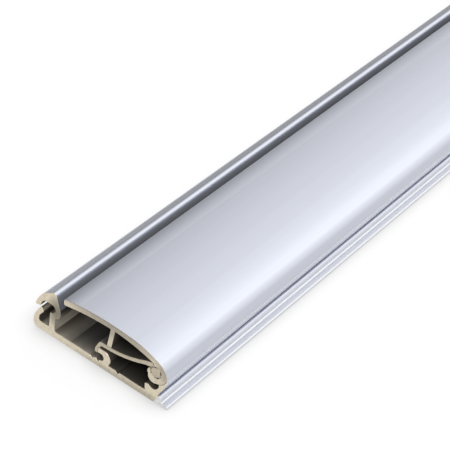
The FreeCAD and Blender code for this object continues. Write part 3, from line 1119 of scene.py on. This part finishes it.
class Effect:
    """A shader node group that more than one material places with its own values."""

    name: str
    takes: tuple[str, ...]
    gives: tuple[str, ...]

    @classmethod
    def _draw(cls, nodes: Nodes, taken: Sockets) -> tuple[Socket, ...]:
        """Draw the effect.

        Args:
            nodes: The group's nodes.
            taken: The values that go into the group.

        Returns:
            What the group gives, in the order of its names.
        """
        raise NotImplementedError

    @classmethod
    def place(cls, nodes: Nodes, *values: Value) -> Sockets:
        """Place the group among a material's nodes, and make it on first use.

        Args:
            nodes: The material's nodes.
            *values: What the group takes, in the order of its names.

        Returns:
            The sockets that the group gives.
        """
        if cls.name not in bpy.data.node_groups:
            tree = bpy.data.node_groups.new(cls.name, "ShaderNodeTree")
            for way, labels in (("INPUT", cls.takes), ("OUTPUT", cls.gives)):
                for label in labels:
                    tree.interface.new_socket(label, in_out=way, socket_type="NodeSocketFloat")
            inside = Nodes(tree)
            given = inside.add("NodeGroupOutput").inputs
            for socket, value in zip(given, cls._draw(inside, inside.add("NodeGroupInput").outputs)):
                inside.feed(socket, value)
        node = nodes.add("ShaderNodeGroup", node_tree=bpy.data.node_groups[cls.name])
        for socket, value in zip(node.inputs, values):
            nodes.feed(socket, value)
        return node.outputs


@dataclass(frozen=True)
class ShadingPatch:
    """A soft oval patch of painted shade in the section, in mm, and the share of the light that it leaves; a
    share above one paints light.
    """

    x: float
    z: float
    width: float
    height: float
    least: float


class ShadingPatchMask(Effect):
    """One patch of painted shade: its share of the light in the middle, and all of it at the rim."""

    name = "ShadingPatch"
    takes = ("Middle X", "Middle Z", "Half Width", "Half Height", "Least")
    gives = ("Light",)

    @classmethod
    def _draw(cls, nodes: Nodes, taken: Sockets) -> tuple[Socket, ...]:
        """Draw the patch from the distance to its middle.

        Args:
            nodes: The group's nodes.
            taken: The values that go into the group.

        Returns:
            The share of the light.
        """
        place = nodes.split(nodes.place())
        across = nodes.maths("SUBTRACT", place["X"], taken["Middle X"])
        up = nodes.maths("SUBTRACT", place["Z"], taken["Middle Z"])
        reach = nodes.squares(nodes.maths("DIVIDE", across, taken["Half Width"]),
                              nodes.maths("DIVIDE", up, taken["Half Height"]))
        return (nodes.remap(reach, taken["Least"], 1.0),)

    @classmethod
    def light(cls, nodes: Nodes, shading_patches: Sequence[ShadingPatch]) -> Value:
        """Return the painted light and shade that some patches leave together.

        Args:
            nodes: The material's nodes.
            shading_patches: The patches of painted shade.
        """
        light: Value = 1.0
        for shading_patch in shading_patches:
            light = nodes.maths("MULTIPLY", cls.place(nodes, *astuple(shading_patch))["Light"], light)
        return light


class Streaks(Effect):
    """Fine and broad lines that run along the rail, and both as a height for bump."""

    name = "Die lines"
    takes = ("Spacing", "Length", "Broad")
    gives = ("Fine", "Tone", "Height")
    fine_detail = 3.0
    broad_detail = 2.0
    broad_stretch = 4.0
    broad_share = 0.5

    @classmethod
    def _draw(cls, nodes: Nodes, taken: Sockets) -> tuple[Socket, ...]:
        """Draw both sizes of line.

        Args:
            nodes: The group's nodes.
            taken: The values that go into the group.

        Returns:
            The fine lines, the broad lines and the height.
        """
        place = nodes.split(nodes.place())

        def lines(spacing: Socket, length: Socket, detail: float) -> Socket:
            """Return noise drawn out along the rail.

            Args:
                spacing: Its size across the rail.
                length: Its size along the rail.
                detail: How many finer layers it has.
            """
            join = nodes.add("ShaderNodeCombineXYZ")
            for axis, unit in zip("XYZ", (spacing, length, spacing)):
                nodes.feed(join.inputs[axis], nodes.maths("DIVIDE", place[axis], unit))
            return nodes.noise(join.outputs[0], 1.0, detail)

        fine = lines(taken["Spacing"], taken["Length"], cls.fine_detail)
        broad_length = nodes.maths("MULTIPLY", taken["Length"], cls.broad_stretch)
        broad = lines(taken["Broad"], broad_length, cls.broad_detail)
        return fine, broad, nodes.maths("MULTIPLY_ADD", broad, cls.broad_share, fine)


class SawMarks(Effect):
    """The mottling, arcs and burrs that a saw blade leaves on a cut, in mm."""

    name = "Saw marks"
    takes = ("Tooth Gap", "Seam X", "Seam Z", "Seam Radius")
    gives = ("Tone", "Grain", "Burrs", "Height")
    blade = (40.0, 125.0)
    grain_scale = 4.0
    cloud_scale = 0.7
    tear_scale = 1.3
    detail = 3.0
    tear_detail = 1.0
    arc_span = (0.35, 0.65)
    arc_tone = 0.035
    arc_height = 0.35
    tear_span = (0.50, 0.58)
    seam_core = 0.12
    seam_width = 0.4

    @classmethod
    def _draw(cls, nodes: Nodes, taken: Sockets) -> tuple[Socket, ...]:
        """Draw the marks.

        Args:
            nodes: The group's nodes.
            taken: The values that go into the group.

        Returns:
            The tone, the grain, the burrs and the height.
        """
        place = nodes.place()
        axes = nodes.split(place)

        def reach(x: Value, z: Value) -> Socket:
            """Return the distance on the cut from the point x, z."""
            side = nodes.maths("SUBTRACT", axes["X"], x)
            return nodes.maths("SQRT", nodes.squares(side, nodes.maths("SUBTRACT", axes["Z"], z)))

        grain = nodes.noise(place, cls.grain_scale, cls.detail)
        cloud = nodes.noise(place, cls.cloud_scale, cls.detail)
        turns = nodes.maths("DIVIDE", reach(*cls.blade), taken["Tooth Gap"])
        arcs = nodes.maths("SINE", nodes.maths("MULTIPLY", turns, 2 * math.pi))
        arcs = nodes.maths("MULTIPLY", arcs, nodes.remap(cloud, 0.0, 1.0, *cls.arc_span))
        mottling = nodes.maths("MULTIPLY", nodes.maths("ADD", grain, cloud), 0.5)
        tone = nodes.remap(nodes.maths("MULTIPLY_ADD", arcs, cls.arc_tone, mottling), 0.0, 1.0, *TONE_SPAN)
        off = nodes.maths("SUBTRACT", reach(taken["Seam X"], taken["Seam Z"]), taken["Seam Radius"])
        tears = nodes.noise(place, cls.tear_scale, cls.tear_detail)
        torn = nodes.remap(tears, 0.0, 1.0, *cls.tear_span, True)
        burrs = nodes.remap(nodes.maths("ABSOLUTE", off), torn, 0.0, cls.seam_core, cls.seam_width, True)
        return tone, grain, burrs, nodes.maths("MULTIPLY_ADD", arcs, cls.arc_height, grain)


@dataclass(frozen=True)
class AnodisedFinish:
    """Satin anodised aluminium, drawn through a die, with its foot made paler by painted light."""

    name: str = "Anodised aluminium"
    colour: Colour = (0.573, 0.597, 0.664)
    deep_colour: Colour = (0.543, 0.566, 0.632)
    painted_light_foot_colour: Colour = (0.68, 0.695, 0.735)
    painted_light_foot_span: tuple[float, float] = (22.6, 23.6)
    painted_light_foot_height_span: tuple[float, float] = (2.8, 3.36)
    metallic: float = 0.7
    roughness: float = 0.23
    roughness_spread: float = 0.03
    spacing: float = 0.14
    length: float = 60.0
    broad: float = 2.5
    bump: float = 0.05
    relief: float = 0.004

    def material(self) -> bpy.types.Material:
        """Return the material."""
        coat = Coat(self.name)
        lines = Streaks.place(coat, self.spacing, self.length, self.broad)
        tone = coat.maths("MULTIPLY", coat.maths("ADD", lines["Fine"], lines["Tone"]), 0.5)
        skin = coat.mix(coat.remap(tone, 0.0, 1.0, *TONE_SPAN), self.deep_colour, self.colour)
        place = coat.split(coat.place())
        # Painted light: the foot, low at the right, is given a paler colour than the rest.
        foot = coat.remap(place["Z"], 1.0, 0.0, *self.painted_light_foot_height_span, True)
        foot = coat.remap(place["X"], 0.0, foot, *self.painted_light_foot_span, True)
        return coat.dress({
            "Base Color": coat.mix(foot, skin, self.painted_light_foot_colour),
            "Metallic": self.metallic,
            "Roughness": coat.around(lines["Fine"], self.roughness, self.roughness_spread),
            "Normal": coat.bump(lines["Height"], self.bump, self.relief),
        })


@dataclass(frozen=True)
class MillFinishWithPaintedShade:
    """Dull, warm grey metal inside the hollows, with light and shade painted into its colour.

    The painted light and shade change across the rail, in mm: a painted lit strip on the rib's face, a sharp
    painted shadow edge, and darker closed chambers. The colour also darkens with its depth behind the cut,
    painted shade, down to a share that changes across the rail too, and is brightest at the cut.
    """

    end: float
    name: str = "Mill finish with painted shade"
    tint: Colour = (1.0, 0.91, 0.78)
    # Painted light and shade across the rail: a lit strip on the rib's face, and a sharp shadow edge near
    # -11.2 mm.
    painted_light_tones: tuple[tuple[float, float], ...] = (
        (-23.4, 0.16), (-21.5, 0.85), (-20.3, 0.85), (-19.9, 0.26), (-18.8, 0.26),
        (-18.7, 1.00), (-17.72, 1.00), (-17.6, 0.38), (-14.2, 0.82), (-11.3, 0.36),
        (-11.1, 0.25), (-8.0, 0.35), (-4.0, 0.72), (2.0, 0.26),
    )
    # Painted shade with depth: the share of the colour left far behind the cut, across the rail.
    painted_depth_shares: tuple[tuple[float, float], ...] = (
        (-17.72, 1.00), (-17.6, 0.30), (-11.3, 0.30), (-11.1, 0.03), (-2.0, 0.03), (2.0, 0.10),
    )
    # Painted shade by the hook's pocket, and painted light on the curl's lip where the share is above one.
    shading_patches: tuple[ShadingPatch, ...] = (ShadingPatch(-16.2, 11.2, 1.2, 1.6, 0.25), ShadingPatch(-22.6, 8.3, 0.9, 0.9, 2.2))
    # Painted light at the open end, brighter than the plain colour.
    painted_near_light: float = 1.15
    painted_shade_fade: float = 3.0
    streak: float = 0.05
    spacing: float = 0.35
    length: float = 20.0
    broad: float = 2.0
    roughness: float = 0.4
    roughness_spread: float = 0.05
    metallic: float = 0.7

    def material(self) -> bpy.types.Material:
        """Return the material."""
        coat = Coat(self.name)
        place = coat.split(coat.place())
        # Painted shade that deepens with the depth behind the cut.
        depth = coat.maths("SUBTRACT", self.end, coat.maths("ABSOLUTE", place["Y"]))
        near = coat.maths("EXPONENT", coat.maths("MULTIPLY", depth, -1.0 / self.painted_shade_fade))
        share = coat.remap(near, coat.ramp(place["X"], self.painted_depth_shares), self.painted_near_light)
        tone = coat.maths("MULTIPLY", coat.ramp(place["X"], self.painted_light_tones), share)
        tone = coat.maths("MULTIPLY", tone, ShadingPatchMask.light(coat, self.shading_patches))
        lines = Streaks.place(coat, self.spacing, self.length, self.broad)
        streak = coat.remap(lines["Tone"], 1.0 - self.streak, 1.0 + self.streak, *TONE_SPAN)
        return coat.dress({
            "Base Color": coat.dimmed(self.tint, coat.maths("MULTIPLY", tone, streak)),
            "Metallic": self.metallic,
            "Roughness": coat.around(lines["Fine"], self.roughness, self.roughness_spread),
        })


@dataclass(frozen=True)
class SawnFinish:
    """Raw aluminium at a saw cut: warm and dull, mottled, with arcs from the blade.

    The cut goes pale and grey past a slanting border. The seam
    is the circle round the ball, as x, z and radius in mm.
    """

    name: str
    seam: tuple[float, float, float]
    # Patches of painted shade on the cut.
    shading_patches: tuple[ShadingPatch, ...] = ()
    colour: Colour = (0.86, 0.775, 0.61)
    pale: Colour = (0.86, 0.86, 0.865)
    pale_span: tuple[float, float] = (20.3, 21.1)
    pale_slant: float = 0.47
    seam_dark: float = 0.15
    tooth_gap: float = 0.45
    mottling: tuple[float, float] = (0.74, 1.10)
    bump: float = 0.5
    relief: float = 0.02
    roughness: float = 0.55
    roughness_spread: float = 0.08
    metallic: float = 0.85

    def material(self) -> bpy.types.Material:
        """Return the material."""
        coat = Coat(self.name)
        marks = SawMarks.place(coat, self.tooth_gap, *self.seam)
        seam = coat.remap(marks["Burrs"], 1.0, self.seam_dark)
        tone = coat.maths("MULTIPLY", coat.remap(marks["Tone"], *self.mottling), seam)
        place = coat.split(coat.place())
        border = coat.maths("MULTIPLY_ADD", place["Z"], -self.pale_slant, place["X"])
        pale = coat.remap(border, 0.0, 1.0, *self.pale_span, True)
        # Painted shade from the patches, fading out where the cut goes pale.
        light = coat.remap(pale, ShadingPatchMask.light(coat, self.shading_patches), 1.0)
        metal = coat.mix(pale, self.colour, self.pale)
        return coat.dress({
            "Base Color": coat.dimmed(metal, coat.maths("MULTIPLY", tone, light)),
            "Metallic": self.metallic,
            "Roughness": coat.around(marks["Grain"], self.roughness, self.roughness_spread),
            "Normal": coat.bump(marks["Height"], self.bump, self.relief),
        })


@dataclass
class Rail:
    """The whole rail: its three profiles, placed on the frame and dressed, in mm."""

    ball_offset: float = 3.33
    cover_gap: float = 2.75
    # Painted shade on the base's cut: by the hook's pocket, and a contact shadow along the floor.
    base_shading_patches: tuple[ShadingPatch, ...] = (ShadingPatch(-16.9, 10.2, 5.0, 6.8, 0.36), ShadingPatch(16.0, -0.5, 34.0, 3.2, 0.62))
    # Painted shade on the cover's cut: across its middle and by its shoulder.
    cover_shading_patches: tuple[ShadingPatch, ...] = (ShadingPatch(4.0, 20.0, 22.0, 8.0, 0.57), ShadingPatch(24.0, 14.0, 5.0, 6.0, 0.65))
    cover_colour: Colour = (0.81, 0.73, 0.585)
    strip_colour: Colour = (0.65, 0.58, 0.455)

    def __post_init__(self) -> None:
        """Read the rail's place and length from the frame."""
        low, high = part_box("base_profile")
        self.y_start, self.y_end = low[1] / MM, high[1] / MM
        self.base = BaseProfile(left=low[0] / MM)
        self.joint = BallJoint(x=self.base.seat_left + self.ball_offset)
        self.cover = CoverProfile(left=self.base.rib_right + self.cover_gap)
        self.strip = ClipStrip()

    def _hollows(self) -> list[Hollow]:
        """Return the hanging slot and the chambers under the cover.

        Their corners lie anywhere inside the walls around them, so they are rough.
        """
        base, cover, x, z = self.base, self.cover, self.joint.x, self.joint.height
        rib, seat = base.rib_left, base.seat_left
        slot = Hollow((
            (base.slot_left - 1.0, 1.5),
            (rib + 1.0, 1.5),
            (rib + 1.0, 8.0),
            (rib + 2.9, 9.5),
            (rib + 2.9, 12.0),
            (rib + 1.0, 13.5),
            (rib - 2.0, 13.2),
            (rib - 3.4, 12.0),
            (rib - 4.8, 9.6),
            (rib - 4.8, 8.2),
            (rib - 4.4, 7.6),
            (rib - 3.9, 7.6),
            (base.slot_left - 0.8, 6.0),
        ))
        chambers = Hollow((
            (rib + 1.5, 1.2),
            (seat + 3.4, 1.2),
            (seat + 4.9, 4.4),
            (seat + 5.9, 7.0),
            (x + 4.1, z - 1.2),
            (x + 3.0, z + 2.2),
            (x - 1.0, cover.top - 3.0),
            (x - 8.0, cover.top - 1.5),
            (base.port_x, cover.top - 1.5),
            (base.port_x - 3.0, 13.0),
            (rib + 3.4, 13.0),
            (rib + 3.2, 9.0),
            (base.rib_right - 0.5, 7.4),
        ))
        return [slot, chambers]

    def _make(self, node: str, section: Section, materials: Sequence[bpy.types.Material]) -> None:
        """Extrude a section and let it stand for a node.

        Args:
            node: The node that the new piece replaces.
            section: The section to extrude.
            materials: One material for each surface kind, in order.
        """
        loop = section.loop()
        obj = Extrusion(f"{node}_dressed", loop, self._hollows(), self.y_start, self.y_end, SawCut()).build()
        for material in materials:
            obj.data.materials.append(material)
        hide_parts(node)
        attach(obj, "root")
        LOG.info("%s: %d stretches, %d faces", node, len(loop), len(obj.data.polygons))

    def build(self) -> None:
        """Make the three profiles."""
        base, cover, strip, joint = self.base, self.cover, self.strip, self.joint
        drawn = [AnodisedFinish().material(), MillFinishWithPaintedShade(self.y_end).material()]
        seam = (joint.x, joint.height, joint.radius)
        pieces = (
            ("base_profile", base.section(joint), SawnFinish("Sawn base", seam, self.base_shading_patches)),
            ("cover_profile", cover.section(base, joint, strip.top),
             SawnFinish("Sawn cover", seam, self.cover_shading_patches, self.cover_colour)),
            ("clip_strip", strip.section(base, joint, cover.rib_right(base)),
             SawnFinish("Sawn strip", seam, colour=self.strip_colour)),
        )
        for node, section, sawn in pieces:
            self._make(node, section, [*drawn, sawn.material()])


@dataclass(frozen=True)
class SoftBox:
    """A large square soft lamp, in metres and watts."""

    name: str
    place: tuple[float, float, float]
    target: tuple[float, float, float]
    size: float
    power: float

    def build(self) -> None:
        """Add the lamp."""
        data = bpy.data.lights.new(self.name, "AREA")
        data.shape = "SQUARE"
        data.size = self.size
        data.energy = self.power
        lamp = bpy.data.objects.new(self.name, data)
        lamp.location = self.place
        aim = Vector(self.target) - Vector(self.place)
        lamp.rotation_euler = aim.to_track_quat("-Z", "Y").to_euler()
        bpy.context.scene.collection.objects.link(lamp)
        LOG.info("lamp %s", self.name)


@dataclass(frozen=True)
class Glow:
    """The middle of a bright part of the sky, in degrees from +Y towards +X and upwards."""

    azimuth: float
    elevation: float

    def nearness(self, nodes: Nodes, direction: Socket) -> Socket:
        """Return the cosine of the angle between a direction and the middle of the glow.

        Args:
            nodes: The world's nodes.
            direction: The direction to compare.
        """
        azimuth, elevation = math.radians(self.azimuth), math.radians(self.elevation)
        node = nodes.add("ShaderNodeVectorMath", operation="DOT_PRODUCT")
        nodes.feed(node.inputs[0], direction)
        nodes.feed(node.inputs[1], (
            math.sin(azimuth) * math.cos(elevation),
            math.cos(azimuth) * math.cos(elevation),
            math.sin(elevation),
        ))
        return node.outputs["Value"]


@dataclass(frozen=True)
class Studio:
    """A floor, a soft sky, two lamps and the camera, in metres.

    The floor glows white to the camera, with a painted contact shadow close to the rail.
    In mirrored light it glows white too, but at a grazing angle only its right half and
    the strip beside the rail's near end stay bright: painted reflections in the metal.
    """

    floor_size: float = 40.0
    floor_drop: float = 0.00002
    floor_colour: Colour = (0.13, 0.13, 0.1313)
    floor_roughness: float = 0.9
    floor_specular: float = 0.1
    floor_lift: float = 0.88
    painted_reflection_beside: float = 0.45
    beside_span: tuple[float, float] = (-0.40, -0.28)
    painted_reflection_half_span: tuple[float, float] = (-0.05, 0.05)
    painted_reflection_grazing_span: tuple[float, float] = (0.84, 0.97)
    painted_shadow_reach: float = 0.0075
    painted_shadow_power: float = 0.55
    painted_shadow_samples: int = 16
    glow: Glow = Glow(azimuth=25.0, elevation=42.0)
    glow_rise: float = 1.98
    glow_fall: float = -0.40
    peak: float = 0.30
    peak_span: tuple[float, float] = (0.955, 1.0)
    dim: float = 0.03
    fill: float = 0.22
    fill_span: tuple[float, float] = (-0.2, 0.45)
    overhead: float = 0.2
    overhead_span: tuple[float, float] = (0.82, 0.97)
    front: SoftBox = SoftBox("Front", place=(0.9, -1.8, 1.45), target=(0.0, -0.4, 0.0), size=1.0, power=24.0)
    left: SoftBox = SoftBox("Left", place=(-1.2, 0.0, 2.3), target=(0.0, 0.0, 0.0), size=0.9, power=11.0)
    lens: float = 137.43
    sensor: float = 36.0
    nearest: float = 0.01
    camera_place: tuple[float, float, float] = (0.21338, -0.79759, 0.35602)
    camera_turn: tuple[float, float, float] = (50.6585, -7.3621, 36.9488)

    def _floor_finish(self) -> bpy.types.Material:
        """Return the floor's material."""
        coat = Coat("Pale floor")
        path = coat.add("ShaderNodeLightPath").outputs
        mirrored = coat.maths("MAXIMUM", path["Is Glossy Ray"], path["Is Transmission Ray"])
        place = coat.split(coat.add("ShaderNodeTexCoord").outputs["Object"])
        # Painted reflections: at a grazing angle the floor's glow stays bright only on its right half and
        # beside the rail's near end.
        beside = coat.remap(place["Y"], self.painted_reflection_beside, 0.0, *self.beside_span, True)
        far = coat.remap(place["X"], beside, self.floor_lift, *self.painted_reflection_half_span, True)
        facing = coat.add("ShaderNodeLayerWeight").outputs["Facing"]
        reflected_glow = coat.remap(facing, self.floor_lift, far, *self.painted_reflection_grazing_span, True)
        # Painted contact shadow: the glow that the camera sees dims with ambient occlusion near the rail.
        painted_contact_shadow = coat.add("ShaderNodeAmbientOcclusion", samples=self.painted_shadow_samples)
        coat.feed(painted_contact_shadow.inputs["Distance"], self.painted_shadow_reach)
        camera_glow = coat.maths("POWER", painted_contact_shadow.outputs["AO"], self.painted_shadow_power)
        camera_glow = coat.maths("MULTIPLY", coat.maths("MULTIPLY", camera_glow, self.floor_lift), path["Is Camera Ray"])
        return coat.dress({
            "Base Color": self.floor_colour,
            "Roughness": self.floor_roughness,
            "Specular IOR Level": self.floor_specular,
            "Emission Color": (1.0, 1.0, 1.0),
            "Emission Strength": coat.maths("MAXIMUM", coat.maths("MULTIPLY", mirrored, reflected_glow), camera_glow),
        })

    def _floor(self) -> None:
        """Lay the floor under the rail."""
        half = self.floor_size / 2
        mesh = bpy.data.meshes.new("Floor")
        corners = [(-half, -half, 0.0), (half, -half, 0.0), (half, half, 0.0), (-half, half, 0.0)]
        mesh.from_pydata(corners, [], [(0, 1, 2, 3)])
        mesh.materials.append(self._floor_finish())
        floor = bpy.data.objects.new("Floor", mesh)
        floor.location.z = -self.floor_drop
        bpy.context.scene.collection.objects.link(floor)

    def _sky(self) -> None:
        """Set a sky that is brightest far behind the rail and dim in front."""
        world = bpy.data.worlds.new("Soft sky")
        bpy.context.scene.world = world
        world.use_nodes = True
        nodes = Nodes(world.node_tree)
        direction = nodes.add("ShaderNodeTexCoord").outputs["Generated"]
        near = self.glow.nearness(nodes, direction)
        broad = nodes.maths("MULTIPLY_ADD", near, self.glow_rise, self.glow_fall)
        axes = nodes.split(direction)
        fill = nodes.remap(axes["Y"], self.fill, self.dim, *self.fill_span, True)
        peak = nodes.remap(near, 0.0, self.peak, *self.peak_span, True)
        light = nodes.maths("ADD", nodes.maths("MAXIMUM", broad, fill), peak)
        overhead = nodes.remap(axes["Z"], 1.0, self.overhead, *self.overhead_span, True)
        background = world.node_tree.nodes["Background"]
        nodes.feed(background.inputs["Strength"], nodes.maths("MULTIPLY", light, overhead))
        nodes.feed(background.inputs["Color"], (1.0, 1.0, 1.0))

    def _camera(self) -> None:
        """Add the camera."""
        data = bpy.data.cameras.new("Camera")
        data.lens = self.lens
        data.sensor_width = self.sensor
        data.clip_start = self.nearest
        camera = bpy.data.objects.new("Camera", data)
        camera.location = self.camera_place
        camera.rotation_euler = Euler([math.radians(angle) for angle in self.camera_turn], "XYZ")
        bpy.context.scene.collection.objects.link(camera)
        bpy.context.scene.camera = camera

    def build(self) -> None:
        """Add the floor, the sky, the lamps and the camera."""
        bpy.context.scene.view_settings.view_transform = "Standard"
        self._floor()
        self._sky()
        self.front.build()
        self.left.build()
        self._camera()


def main() -> None:
    """Load the frame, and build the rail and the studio."""
    logging.basicConfig(level=logging.INFO, format="%(name)s: %(message)s")
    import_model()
    Studio().build()
    Rail().build()


if __name__ == "__main__":
    main()
